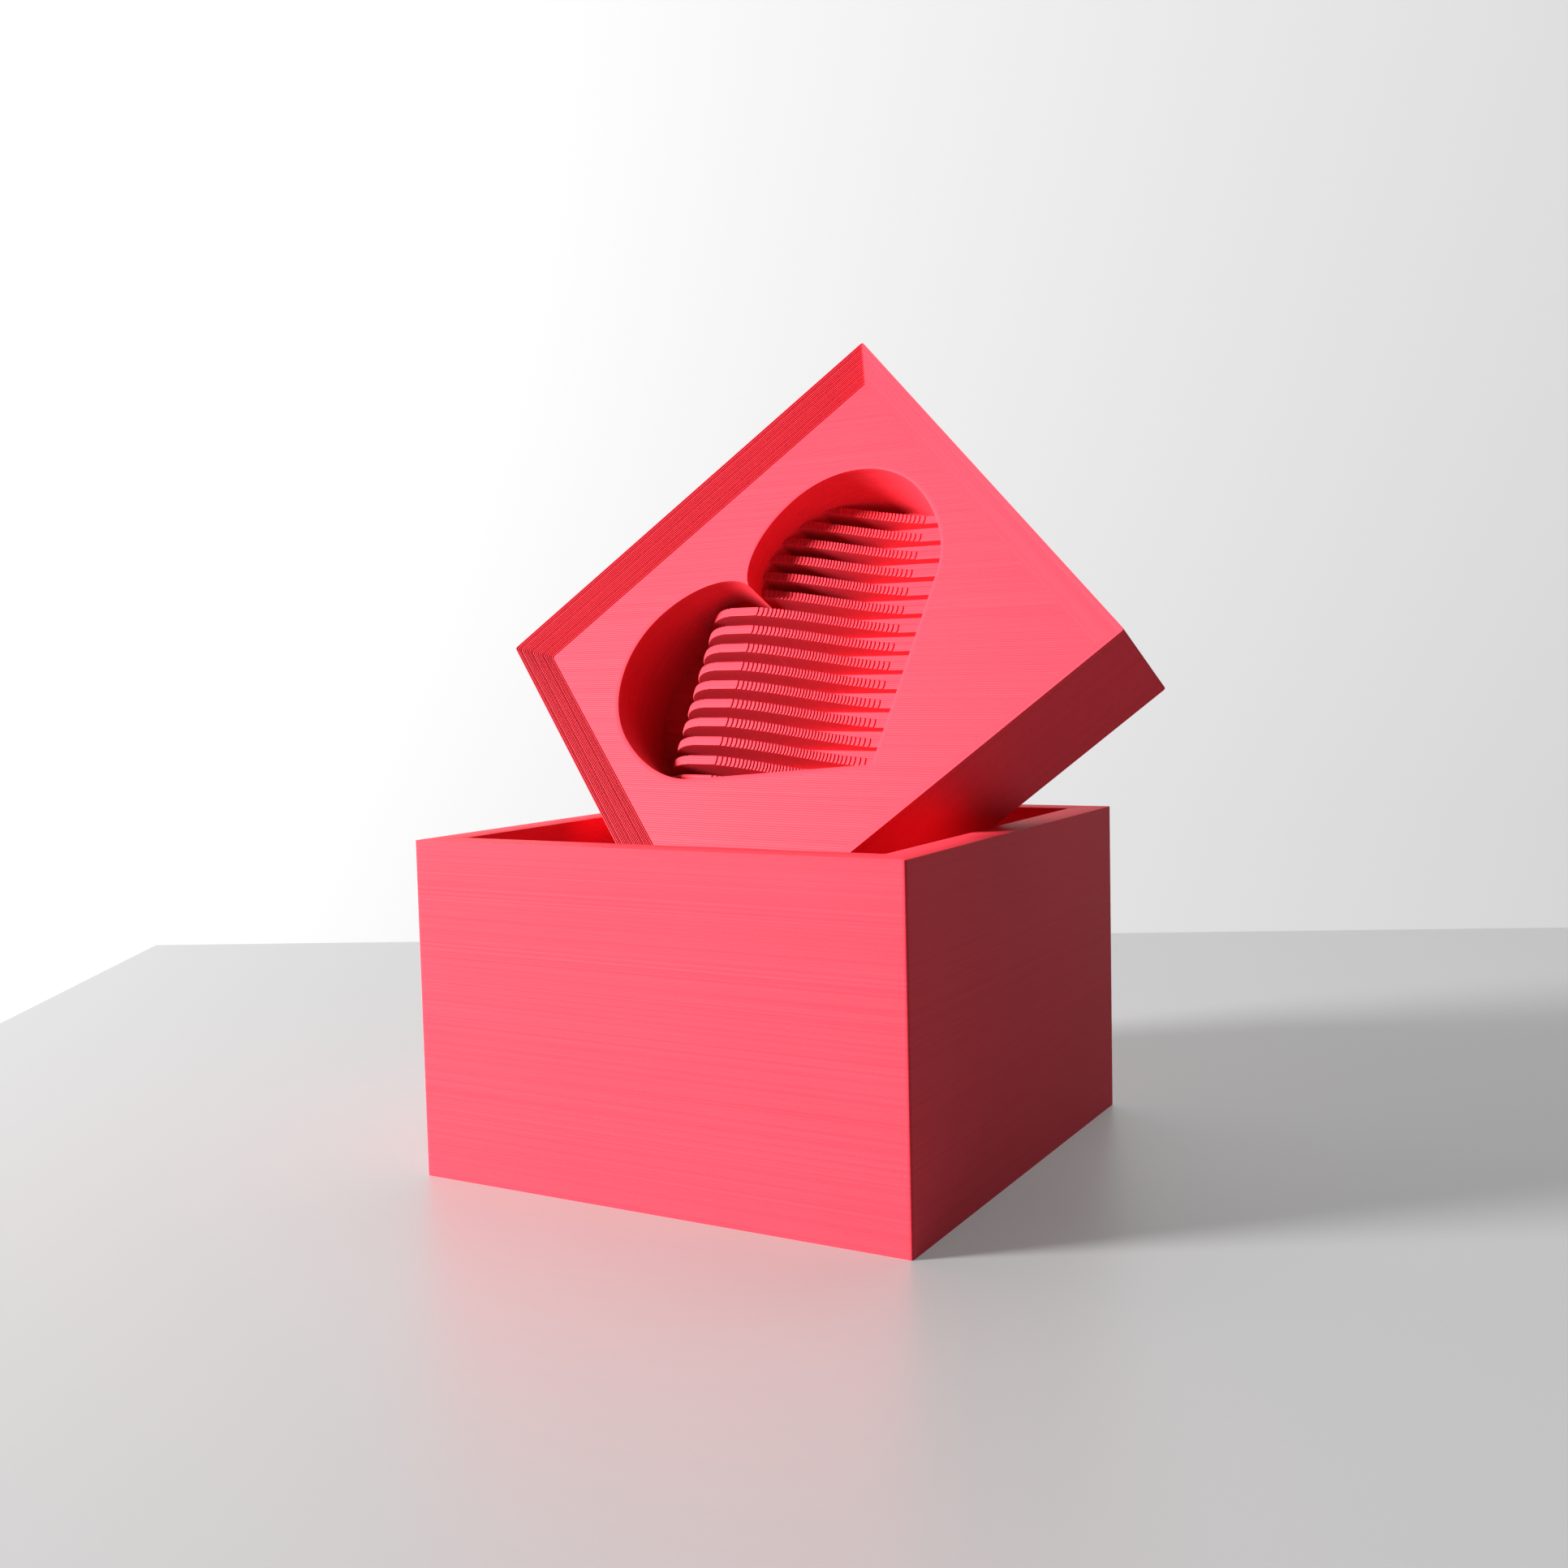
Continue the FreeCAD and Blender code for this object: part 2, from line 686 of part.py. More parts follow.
save("click", make_click())
pin_seat = ratchet_back + click_side_gap
pin_end = pin_seat + click_pin_head
pin_head = rod(click_pin_radius + click_pin_head, pin_seat, pin_end, click_pin_x, click_pin_z)
pin_shank = rod(click_pin_radius, back_bracket_y, pin_seat, click_pin_x, click_pin_z)
save("click_pin", pin_shank.fuse(pin_head).removeSplitter())


def make_click_spring():
    """A thin leaf whose foot stands on the back bracket and whose free end rests just over the click."""
    y0 = back_bracket_y + bracket_thickness
    leaf_y0 = y0 + leaf_setback
    leaf_y1 = leaf_y0 + leaf_width
    leaf_z = click_pin_z + click_boss_radius + click_tip_gap
    leaf_top = leaf_z + leaf_thickness
    foot_x = click_pin_x + leaf_foot_out
    end_x = foot_x + leaf_foot_length
    foot = block(foot_x, end_x, y0, leaf_y1, bracket_top - leaf_foot_height, bracket_top)
    riser = block(end_x - leaf_thickness, end_x, leaf_y0, leaf_y1, bracket_top, leaf_top)
    leaf = block(click_pin_x - leaf_overhang, end_x, leaf_y0, leaf_y1, leaf_z, leaf_top)
    return foot.fuse(leaf).fuse(riser).removeSplitter()


save("click_spring", make_click_spring())

# ---- stop: a rod in the back wall that the closed lid presses down onto the fan ----
rod_bottom = stop_foot_z - stop_foot_radius - stop_rod_below_foot
stop_rod = post(stop_rod_radius, fly_x, rod_y, rod_bottom, box_height + stop_travel)
stop_tip = Part.makeSphere(stop_rod_radius, Vec(fly_x, rod_y, box_height + stop_travel))
foot_end = rod_y + stop_foot_grip
foot_hole = rod(stop_foot_radius, rod_y - stop_foot_hole, foot_end, fly_x, stop_foot_z)
save("stop_plunger", stop_rod.fuse(stop_tip).removeSplitter().cut(foot_hole))
save("stop_foot", rod(stop_foot_radius, fan_back - fan_length / 2, foot_end, fly_x, stop_foot_z))


def make_stop_spring():
    """A round-wire coil under the rod."""
    low = stop_foot_z - stop_foot_radius - stop_travel - stop_spring_length
    length = rod_bottom - low - 2 * stop_spring_wire
    coil_radius = stop_rod_radius - stop_spring_wire - stop_spring_gap
    helix = Part.makeHelix(length / stop_spring_turns, length, coil_radius)
    profile = Part.Wire(Part.makeCircle(stop_spring_wire, Vec(coil_radius, 0, 0), Vec(0, 1, 0)))
    coil = Part.Wire(helix).makePipeShell([profile], True, True)
    coil.translate(Vec(fly_x, rod_y, low + stop_spring_wire))
    return coil


save("stop_spring", make_stop_spring())

# ---- lid ----
panel_u = box_width / 2 - border_slope
panel_v = box_depth / 2 - border_slope
heart_half = min(panel_u, panel_v) - heart_margin
recess_depth = lid_thickness - border_height - lid_floor
trough_depth = recess_depth - low_rib_height

# The heart's right half as Bezier corners and handles, in heart half-widths, from the notch to the tip.
heart_notch = (0.0, 0.565)
heart_top = (0.465, 0.83)
heart_side = (1.0, 0.29)
heart_flank = (0.80, -0.215)
heart_tip = (0.0, -0.872)


def heart_wire(height, half):
    """The heart outline as smooth curves at one height, half as wide as the heart."""
    right = [
        [heart_notch, (0.03, 0.70), (0.22, 0.83), heart_top],
        [heart_top, (0.76, 0.83), (1.0, 0.59), heart_side],
        [heart_side, (1.0, 0.08), (0.93, -0.108), heart_flank],
        [heart_flank, heart_tip],
    ]
    left = [[(-u, v) for u, v in reversed(span)] for span in reversed(right)]
    edges = []
    for span in right + left:
        poles = [Vec(u * half, v * half, height) for u, v in span]
        if len(poles) == 2:
            edges.append(Part.makeLine(poles[0], poles[1]))
        else:
            curve = Part.BezierCurve()
            curve.setPoles(poles)
            edges.append(curve.toShape())
    return Part.Wire(edges)


# Along a rib: a rounded fall at the upper left, a crest, a long even slope down, then a flat.
def rib_outline():
    """The side view of one rib as (s, n) points: s runs along it and n is its height from the panel."""
    fall = trough_depth - crest_depth
    points = [(fall_start, -recess_depth)]
    for k in range(fall_steps + 1):
        angle = math.pi / 2 * k / fall_steps
        along = fall_start + (crest_start - fall_start) * (1 - math.cos(angle))
        points.append((along, -trough_depth + fall * math.sin(angle)))
    for k in range(slope_steps + 1):
        part = k / slope_steps
        rounded = (1 - math.cos(math.pi * part)) / 2
        drop = fall * (part * (1 - slope_roundness) + rounded * slope_roundness)
        points.append((crest_end + (slope_end - crest_end) * part, -crest_depth - drop))
    points.append((rib_reach, -trough_depth))
    points.append((rib_reach, -recess_depth))
    return points


def make_ribs():
    """Parallel ribs on the recess floor; s is (u - v) and t is (u + v), both over root two."""
    outline = rib_outline()
    root2 = math.sqrt(2)
    along = Vec(1 / root2, -1 / root2, 0)
    across = Vec(1 / root2, 1 / root2, 0)
    heart = Part.Face(heart_wire(-recess_depth, heart_half - rib_end_gap))
    room = heart.extrude(Vec(0, 0, recess_depth))
    count = int(rib_reach / rib_pitch)
    ribs = []
    for k in range(-count, count + 1):
        shift = across * (k * rib_pitch - rib_width / 2)
        corners = [along * s + shift + Vec(0, 0, n) for s, n in outline]
        face = Part.Face(Part.makePolygon(corners + corners[:1]))
        rib = face.extrude(across * rib_width).common(room)
        ribs += [piece for piece in rib.Solids if piece.Volume > smallest_rib]
    return Part.makeCompound(ribs)


def lid_slab(half_u, half_v, low, high):
    return block(-half_u, half_u, -half_v, half_v, low, high)


def make_border_hollow():
    """The shallow square dish inside the border: its sides slope outwards to the lid's edge."""
    def square(half_u, half_v, height):
        corners = [Vec(-half_u, -half_v, height), Vec(half_u, -half_v, height),
                   Vec(half_u, half_v, height), Vec(-half_u, half_v, height)]
        return Part.makePolygon(corners + corners[:1])
    low = square(panel_u, panel_v, 0)
    high = square(box_width / 2 - border_edge, box_depth / 2 - border_edge, border_height)
    return Part.makeLoft([low, high], True, True)


def make_lid():
    back = border_height - lid_thickness
    slab = lid_slab(box_width / 2, box_depth / 2, back, border_height)
    slab = slab.cut(make_border_hollow())
    lip_u = inner_x - lip_gap
    lip_v = inner_y - lip_gap
    lip = lid_slab(lip_u, lip_v, back - lip_height, back)
    lip = lip.cut(lid_slab(lip_u - lip_width, lip_v - lip_width, back - lip_height - past, back))
    heart = Part.Face(heart_wire(-recess_depth, heart_half)).extrude(Vec(0, 0, recess_depth + past))
    return slab.fuse(lip).cut(heart).removeSplitter()


def lid_axes():
    """Unit vectors of the standing lid: u and v in its plane, n out of its top."""
    lean = math.radians(lid_lean)
    turn = math.radians(lid_turn)
    spin = math.radians(lid_spin)
    n = Vec(-math.sin(turn) * math.cos(lean), -math.cos(turn) * math.cos(lean), math.sin(lean))
    level = Vec(0, 0, 1).cross(n)
    level.normalize()
    rise = n.cross(level)
    u = level * math.cos(spin) + rise * math.sin(spin)
    v = rise * math.cos(spin) - level * math.sin(spin)
    return u, v, n


def lid_centre(u, v, n):
    """Where the panel's centre goes so that the lowest back corner stands between the side walls."""
    spread = u.x / u.z - v.x / v.z
    wedge = box_height - 2 * (inner_x - lid_side_gap) / spread
    foot_z = max(floor_top + lid_foot_gap, wedge)
    rim_rise = box_height - foot_z
    foot_x = -(u.x / u.z + v.x / v.z) * rim_rise / 2
    foot = Vec(foot_x, lid_foot_y, foot_z)
    back = lid_thickness - border_height
    return foot + u * (box_width / 2) + v * (box_depth / 2) + n * back


axis_u, axis_v, axis_n = lid_axes()
centre = lid_centre(axis_u, axis_v, axis_n)
turned = FreeCAD.Matrix(axis_u.x, axis_v.x, axis_n.x, centre.x,
                        axis_u.y, axis_v.y, axis_n.y, centre.y,
                        axis_u.z, axis_v.z, axis_n.z, centre.z,
                        0, 0, 0, 1)
for name, shape in (("lid", make_lid()), ("lid_ribs", make_ribs())):
    shape.Placement = FreeCAD.Placement(turned)
    save(name, shape)

print("floor top", round(floor_top, 3), "axis height", round(axis_z, 3), "lid centre", centre)
for name, shape in made.items():
    bounds = shape.BoundBox
    low = [round(c, 1) for c in (bounds.XMin, bounds.YMin, bounds.ZMin)]
    high = [round(c, 1) for c in (bounds.XMax, bounds.YMax, bounds.ZMax)]
    print(name, "valid" if shape.isValid() else "INVALID", len(shape.Solids), "solids", low, high)
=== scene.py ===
"""The heart-lid music box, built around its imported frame.

It has a printed case, a printed lid with ribs, and a metal movement.
Lengths are in metres, in the frame's own axes, and MM turns millimetres into metres.
The lid has axes of its own: u and v along its sides, n out of its top, with n = 0 on the flat panel.
The ribs run along s = (u - v) / root two and repeat along t = (u + v) / root two.
"""
import json
import math

import bpy
import numpy as np
from mathutils import Matrix, Vector


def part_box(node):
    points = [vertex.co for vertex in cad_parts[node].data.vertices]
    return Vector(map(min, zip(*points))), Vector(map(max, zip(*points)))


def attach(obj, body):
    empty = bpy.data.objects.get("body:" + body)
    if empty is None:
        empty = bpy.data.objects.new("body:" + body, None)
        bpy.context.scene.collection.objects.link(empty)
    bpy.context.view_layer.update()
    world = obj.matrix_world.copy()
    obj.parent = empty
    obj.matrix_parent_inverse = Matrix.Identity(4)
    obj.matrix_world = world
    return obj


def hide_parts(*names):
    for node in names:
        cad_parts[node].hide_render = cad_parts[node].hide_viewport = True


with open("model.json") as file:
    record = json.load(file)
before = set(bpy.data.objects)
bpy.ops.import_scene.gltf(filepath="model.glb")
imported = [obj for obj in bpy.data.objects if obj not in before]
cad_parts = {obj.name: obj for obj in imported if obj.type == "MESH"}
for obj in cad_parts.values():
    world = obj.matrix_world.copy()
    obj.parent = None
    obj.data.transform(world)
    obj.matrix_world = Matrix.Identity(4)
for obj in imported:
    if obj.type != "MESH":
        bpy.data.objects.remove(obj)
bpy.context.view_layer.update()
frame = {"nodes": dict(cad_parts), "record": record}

MM = 0.001
ROOT2 = math.sqrt(2)

# ---- printing: every printed face is a stack of layers ----
layer = 0.2 * MM
layer_groove = 0.016 * MM
layer_wander = 0.005 * MM
line_pitch = 0.4 * MM
end_wander = 0.02 * MM
corner_radius = 0.4 * MM
inner_corner_radius = 0.5 * MM

# ---- case: sizes that the frame doesn't give, and the rays beside a corner in degrees ----
floor_thickness = 2.2 * MM
rim_band = 0.8  # the inner floor is the highest point below this share of the height
corner_rays = np.array([0.0, 0.12, 0.25, 0.45, 1.2, 12.0, 30.0])
box_seed = 5

# ---- the last ring inside a flat face that ends a loft, as a share of the face ----
under_ring = 0.3
floor_ring = 0.5

# ---- lid sizes, and the rays beside a corner in degrees ----
lid_lean = math.radians(27.6)
lid_turn = math.radians(3.86)
lid_spin = math.radians(44.6)
lid_thickness = 19.2 * MM
border_height = 4.0 * MM
border_slope = 4.2 * MM
heart_margin = 4.9 * MM
recess_depth = 14.4 * MM
lip_height = 3.5 * MM
lip_width = 2.4 * MM
lip_gap = 0.4 * MM
seam_width = 0.8 * MM
edge_round = 0.12 * MM
edge_bulge = 0.3  # how far a rounded edge has gone in and down at its middle, as a share of its radius
panel_inset = 0.3 * MM
seam_fade = 0.15 * MM
floor_inset = 0.2 * MM
lid_corner_rays = np.array([-0.6, -0.3, -0.12, 0.0, 0.12, 0.3, 0.6])
lid_seed = 9
heart_points = 4000
rays_round_lid = 176

# ---- rib sizes, along s and t ----
rib_pitch = 3.6 * MM
rib_width = 1.6 * MM
crest_depth = 4.8 * MM
trough_depth = 12.8 * MM
fall_start = -26.5 * MM
crest_start = -18.5 * MM
crest_end = -14.0 * MM
slope_end = 11.3 * MM
slope_roundness = 0.4
tongue = 0.28 * MM
rib_edge_drop = 0.05 * MM
rib_reach = 40.0 * MM
rise_bend = -0.5
tongue_reach = 0.93
edge_power = 8
wall_bite = 0.02 * MM
rib_seed = 3


# ---------------------------------------------------------------- meshes

def loft(rings):
    """A closed skin over a stack of closed rings, as (points, quads, triangles).

    rings is (rings, points round, 3). Quads join each ring to the next, and a pole at the ring's
    mean point closes each end with a fan of triangles.
    """
    count, around = rings.shape[:2]
    index = np.arange(count * around).reshape(count, around)
    right = np.roll(index, -1, axis=1)
    quads = np.stack([index[:-1], right[:-1], right[1:], index[1:]], axis=-1).reshape(-1, 4)
    points = rings.reshape(-1, 3)
    triangles = np.zeros((0, 3), int)
    for row, turn in ((0, True), (count - 1, False)):
        pole = np.full(around, len(points))
        points = np.vstack([points, rings[row].mean(axis=0)])
        fan = [right[row], index[row], pole] if turn else [index[row], right[row], pole]
        triangles = np.vstack([triangles, np.stack(fan, axis=-1)])
    return points, quads, triangles


def tube_skin(rings):
    """A skin over rings that close on themselves both ways, like a torus."""
    count, around = rings.shape[:2]
    index = np.arange(count * around).reshape(count, around)
    right = np.roll(index, -1, axis=1)
    ahead = np.roll(index, -1, axis=0)
    corner = np.roll(right, -1, axis=0)
    quads = np.stack([index, right, corner, ahead], axis=-1).reshape(-1, 4)
    return rings.reshape(-1, 3), quads, np.zeros((0, 3), int)


def outward(skin):
    """The skin with its faces turned outwards: its signed volume is made positive."""
    points, quads, triangles = skin
    flat = np.vstack([quads[:, [0, 1, 2]], quads[:, [0, 2, 3]], triangles])
    corners = points[flat]
    volume = np.einsum("ij,ij->i", corners[:, 0], np.cross(corners[:, 1], corners[:, 2])).sum()
    if volume < 0:
        return points, quads[:, ::-1], triangles[:, ::-1]
    return skin


def joined(skins):
    """Several skins as one."""
    points, quads, triangles = [], [], []
    start = 0
    for part in skins:
        points.append(part[0])
        quads.append(part[1] + start)
        triangles.append(part[2] + start)
        start += len(part[0])
    return np.vstack(points), np.vstack(quads), np.vstack(triangles)


def make_piece(name, skin, attributes, sharp=30.0):
    """A mesh object from a skin, smooth except where faces meet at more than the sharp angle."""
    points, quads, triangles = skin
    mesh = bpy.data.meshes.new(name)
    mesh.vertices.add(len(points))
    mesh.vertices.foreach_set("co", points.astype(np.float32).ravel())
    corners = np.concatenate([quads.ravel(), triangles.ravel()])
    sizes = np.concatenate([np.full(len(quads), 4), np.full(len(triangles), 3)])
    starts = np.concatenate([[0], np.cumsum(sizes)[:-1]])
    mesh.loops.add(len(corners))
    mesh.loops.foreach_set("vertex_index", corners.astype(np.int32))
    mesh.polygons.add(len(sizes))
    mesh.polygons.foreach_set("loop_start", starts.astype(np.int32))
    mesh.update(calc_edges=True)
    mesh.validate()
    for key, values in attributes.items():
        mesh.attributes.new(key, "FLOAT", "POINT").data.foreach_set("value", values.astype(np.float32))
    mesh.shade_smooth()
    mesh.set_sharp_from_angle(angle=math.radians(sharp))
    piece = bpy.data.objects.new(name, mesh)
    bpy.context.scene.collection.objects.link(piece)
    return piece


def square_ring(angles, half, radius):
    """Points of a rounded square on rays at the given angles.

    Along a ray (a, b) the flat sides are met at half / max(a, b). Where that lands beyond the start
    of a corner arc, the ray meets the arc's circle about (half - radius, half - radius) instead.
    """
    ray = np.stack([np.cos(angles), np.sin(angles)], axis=-1)
    size = np.abs(ray)
    reach = half / size.max(axis=1)
    core = half - radius
    total = core * size.sum(axis=1)
    arc = total + np.sqrt(np.maximum(total**2 - 2 * core**2 + radius**2, 0))
    reach = np.where(size.min(axis=1) * reach > core, arc, reach)
    return ray * reach[:, None]


def layer_stack(low, high, random):
    """Heights and insets of a printed wall: two rings a layer, at its groove and at its crown."""
    layers = max(1, round(abs(high - low) / layer))
    heights = np.linspace(low, high, 2 * layers + 1)
    insets = np.where(np.arange(2 * layers + 1) % 2 == 0, layer_groove, 0.0)
    wander = np.repeat(np.abs(random.normal(0, layer_wander, layers + 1)), 2)[: 2 * layers + 1]
    return heights, insets + wander


# ---------------------------------------------------------------- the case

def make_printed_box():
    """The case as one loft: bay ceiling, bay walls, foot, outer layers, rim, inner layers, floor.

    Each ring is a rounded square whose half width and height follow the wall's section. The
    attribute across is the distance over a top face in the direction that its lines repeat.
    """
    low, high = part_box("box_body")
    half = (high.x - low.x) / 2
    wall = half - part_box("key_bush")[0].y
    points = np.array([v.co for v in frame["nodes"]["box_body"].data.vertices])
    below_rim = points[points[:, 2] < high.z * rim_band]
    floor_top = below_rim[:, 2].max()
    floor_under = floor_top - floor_thickness
    inner = half - wall
    random = np.random.default_rng(box_seed)
    corner = 45.0
    turn = np.concatenate([corner - corner_rays[::-1], corner + corner_rays[1:]])
    angles = np.radians(np.concatenate([turn + 90 * k for k in range(4)]))
    rows = []

    def add(size, height, radius, across=0.0, lines=0.0):
        rows.append((size, height, radius, across, lines))

    add(inner * under_ring, floor_under, inner_corner_radius)
    add(inner, floor_under, inner_corner_radius)
    add(inner, low.z, inner_corner_radius)
    add(half - layer_groove * 2, low.z, corner_radius)
    heights, insets = layer_stack(low.z, high.z, random)
    for height, inset in zip(heights[1:-1], insets[1:-1]):
        add(half - inset, height, corner_radius)
    add(half - layer_groove, high.z - layer_groove, corner_radius)
    add(half - edge_round / 2, high.z, corner_radius, 0.0, 1.0)
    add(inner + edge_round / 2, high.z, inner_corner_radius, wall, 1.0)
    heights, insets = layer_stack(high.z - layer_groove, floor_top, random)
    for height, inset in zip(heights, insets):
        add(inner + inset, height, inner_corner_radius)
    add(inner, floor_top, inner_corner_radius, 0.0, 1.0)
    add(inner * floor_ring, floor_top, inner_corner_radius, 0.0, 1.0)
    table = np.array(rows)
    rings = np.zeros((len(table), len(angles), 3))
    for k, (size, height, radius, _, _) in enumerate(table):
        rings[k, :, :2] = square_ring(angles, size, radius)
        rings[k, :, 2] = height
    skin = outward(loft(rings))
    around = len(angles)
    across = np.repeat(table[:, 3], around)
    floor = len(table) - 2
    spread = (rings[floor:, :, 0] + rings[floor:, :, 1]) / ROOT2
    across[floor * around :] = spread.ravel()
    lines = np.repeat(table[:, 4], around)
    poles = len(skin[0]) - len(across)
    across = np.concatenate([across, np.zeros(poles)])
    lines = np.concatenate([lines, np.ones(poles)])
    height = skin[0][:, 2]
    return make_piece("printed_box", skin, {"across": across / MM, "lines": lines, "height": height / MM})


# ---------------------------------------------------------------- the lid's frame and its heart

def lid_frame():
    """The standing lid's u, v and n axes, the panel's centre, and half its width, from the CAD lid."""
    lean, turn, spin = lid_lean, lid_turn, lid_spin
    n = np.array([-math.sin(turn) * math.cos(lean), -math.cos(turn) * math.cos(lean), math.sin(lean)])
    level = np.cross([0, 0, 1], n)
    level /= np.linalg.norm(level)
    rise = np.cross(n, level)
    u = level * math.cos(spin) + rise * math.sin(spin)
    v = rise * math.cos(spin) - level * math.sin(spin)
    points = np.array([p.co for p in frame["nodes"]["lid"].data.vertices])
    along = [points @ axis for axis in (u, v, n)]
    middle = [(a.min() + a.max()) / 2 for a in along[:2]]
    panel = along[2].max() - border_height
    centre = u * middle[0] + v * middle[1] + n * panel
    return u, v, n, centre, (along[0].max() - along[0].min()) / 2


lid_u, lid_v, lid_n, lid_centre, lid_half = lid_frame()
panel_half = lid_half - border_slope
heart_half = panel_half - heart_margin


def lid_points(local):
    """Points in the lid's u, v, n turned into the frame."""
    return lid_centre + local[..., :1] * lid_u + local[..., 1:2] * lid_v + local[..., 2:] * lid_n


def bezier(corners, part):
    """A cubic Bezier curve through its four corners, at every part from 0 to 1."""
    a, b, c, d = (np.array(p)[None] for p in corners)
    t = part[:, None]
    return (1 - t) ** 3 * a + 3 * t * (1 - t) ** 2 * b + 3 * t**2 * (1 - t) * c + t**3 * d


def heart_outline(count):
    """The heart from its notch round by the right lobe, the tip and the left lobe, closed, evenly spaced."""
    part = np.linspace(0, 1, 200, endpoint=False)
    tip = np.array([0.0, -0.872])
    flank = np.array([0.80, -0.215])
    right = [
        bezier([(0, 0.565), (0.03, 0.70), (0.22, 0.83), (0.465, 0.83)], part),
        bezier([(0.465, 0.83), (0.76, 0.83), (1.0, 0.59), (1.0, 0.29)], part),
        bezier([(1.0, 0.29), (1.0, 0.08), (0.93, -0.108), flank], part),
        flank + (tip - flank) * part[:, None],
    ]
    right = np.vstack(right)
    left = right[:0:-1] * [-1, 1]
    whole = np.vstack([right, [tip], left]) * heart_half
    steps = np.linalg.norm(np.diff(np.vstack([whole, whole[:1]]), axis=0), axis=1)
    length = np.concatenate([[0], np.cumsum(steps)])
    closed = np.vstack([whole, whole[:1]])
    wanted = np.linspace(0, length[-1], count, endpoint=False)
    return np.stack([np.interp(wanted, length, closed[:, k]) for k in range(2)], axis=-1)


def heart_and_square():
    """Matching points round the heart and rays round the square, with extra rays at the square's corners.

    The heart is seen from its own middle in one sweep, so the ray angle only ever falls from the
    notch clockwise back to the notch, and any ray gives one point of the heart.
    """
    dense = heart_outline(heart_points)
    sweep = np.unwrap(np.arctan2(dense[:, 1], dense[:, 0]))
    place = np.arange(heart_points + 1.0)
    even = np.linspace(0, heart_points, rays_round_lid, endpoint=False)
    near = np.radians(lid_corner_rays)
    corners = sweep[0] - math.pi / 4 - math.pi / 2 * np.arange(4)
    wanted = (corners[:, None] + near[None]).ravel()
    extra = np.interp(-wanted, -sweep, place[:-1])
    places = np.sort(np.concatenate([even, extra]))
    closed = np.vstack([dense, dense[:1]])
    heart = np.stack([np.interp(places, place, closed[:, k]) for k in range(2)], axis=-1)
    return heart, np.arctan2(heart[:, 1], heart[:, 0])


def make_printed_lid():
    """The lid as one loft of rings from the middle of its underside to the middle of the heart's floor.

    The rings go down and up the lip, up the layered sides, down the stepped border, over the flat
    panel, and down the layered wall of the heart. Square rings and heart rings share their rays.
    """
    heart, angles = heart_and_square()
    away = heart / np.linalg.norm(heart, axis=1)[:, None]
    random = np.random.default_rng(lid_seed)
    back = border_height - lid_thickness
    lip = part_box("key_bush")[0].y - lip_gap
    rings, lines = [], []

    def add(flat, height, line=0.0):
        rings.append(np.column_stack([flat, np.full(len(flat), height)]))
        lines.append(line)

    def square(half, height, line=0.0):
        add(square_ring(angles, half, corner_radius), height, line)

    square(lip * under_ring, back, 1.0)
    square(lip - lip_width - edge_round, back, 1.0)
    square(lip - lip_width, back)
    square(lip - lip_width, back - lip_height)
    square(lip, back - lip_height)
    square(lip, back)
    square(lid_half - layer_groove, back)
    heights, insets = layer_stack(back, border_height, random)
    for height, inset in zip(heights[1:-1], insets[1:-1]):
        square(lid_half - inset, height)
    square(lid_half - layer_groove, border_height)
    steps = round(border_height / layer)
    tread = border_slope / steps
    for k in range(steps):
        inner_edge = lid_half - tread * (k + 1) + abs(random.normal(0, end_wander))
        square(inner_edge + layer_groove * 2, border_height - layer * k)
        square(inner_edge, border_height - layer * k - layer_groove * 2)
        square(inner_edge, border_height - layer * (k + 1))
    square(panel_half - panel_inset, 0.0, 1.0)
    add(heart + away * (seam_width + seam_fade), 0.0, 1.0)
    add(heart + away * seam_width, 0.0)
    add(heart + away * edge_round, 0.0)
    add(heart + away * edge_round * edge_bulge, -edge_round * edge_bulge)
    heights, insets = layer_stack(-edge_round, -recess_depth, random)
    for height, inset in zip(heights, insets):
        add(heart + away * inset, height)
    add(heart - away * floor_inset, -recess_depth, 1.0)
    add(heart * floor_ring, -recess_depth, 1.0)
    local = np.array(rings)
    skin = outward(loft(lid_points(local)))
    across = (local[..., 0] + local[..., 1]).ravel() / ROOT2
    mask = np.repeat(lines, len(angles))
    heights = local[..., 2].ravel()
    poles = len(skin[0]) - len(across)
    fill = skin[0][-poles:] - lid_centre
    across = np.concatenate([across, fill @ (lid_u + lid_v) / ROOT2])
    mask = np.concatenate([mask, np.ones(poles)])
    heights = np.concatenate([heights, fill @ lid_n])
    return make_piece("printed_lid", skin, {"across": across / MM, "lines": mask, "height": heights / MM})


# ---------------------------------------------------------------- the ribs in the heart

def rib_span(outline, t):
    """Where the line at t enters and leaves the heart along s: the last two crossings of the outline."""
    s = (outline[:, 0] - outline[:, 1]) / ROOT2
    side = (outline[:, 0] + outline[:, 1]) / ROOT2 - t
    ahead = np.roll(side, -1)
    cut = np.flatnonzero((side < 0) != (ahead < 0))
    if len(cut) < 2:
        return None
    share = side[cut] / (side[cut] - ahead[cut])
    crossings = s[cut] + share * (np.roll(s, -1)[cut] - s[cut])
    return np.sort(crossings)[-2:]


